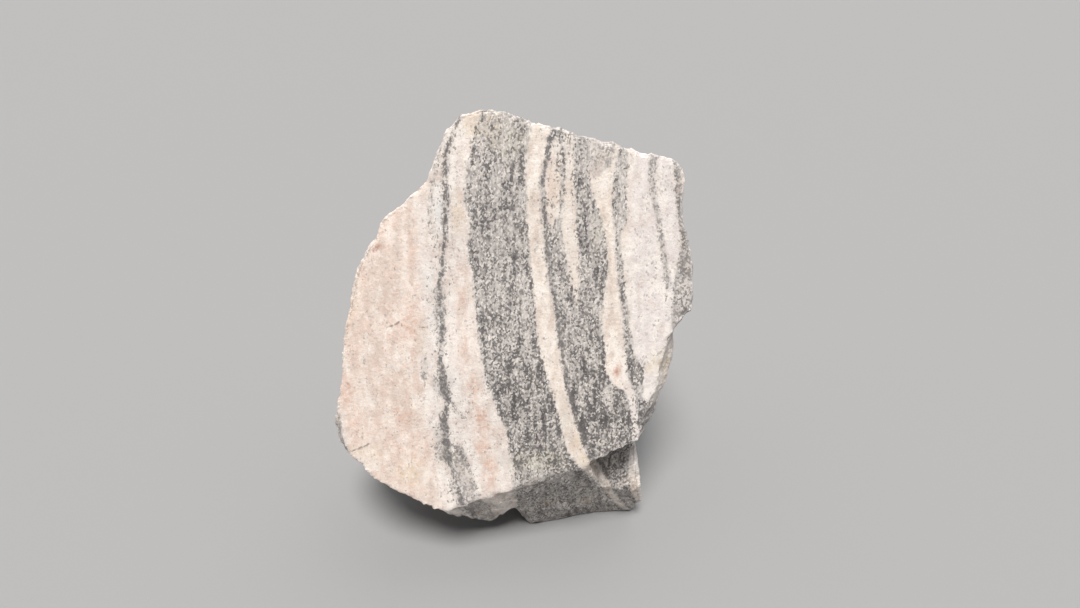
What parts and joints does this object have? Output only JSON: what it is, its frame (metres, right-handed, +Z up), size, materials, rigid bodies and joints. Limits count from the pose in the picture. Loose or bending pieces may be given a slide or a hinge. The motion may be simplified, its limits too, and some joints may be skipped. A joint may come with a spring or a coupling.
{
  "type": "gneiss specimen",
  "caption": "Broken slab of banded gneiss standing on a flat spot of its own underside, with a broad leaning face cut across pale pink, cream, white and dark grey layers.",
  "frame": {"origin": "on the ground under the middle of the stone's bounding box, at the level of the flat spot it rests on", "axes": "+Z up; +X to the right across the layers, seen from the front; +Y away from the viewer, so the broad face looks towards -Y and leans back by 28 degrees"},
  "size_m": [0.1748, 0.134, 0.2122],
  "materials": {
    "gneiss": "matt, crystalline, banded pink, cream, white and salt-and-pepper grey"
  },
  "bodies": {
    "root": {"gneiss_specimen": "gneiss"}
  },
  "joints": []
}
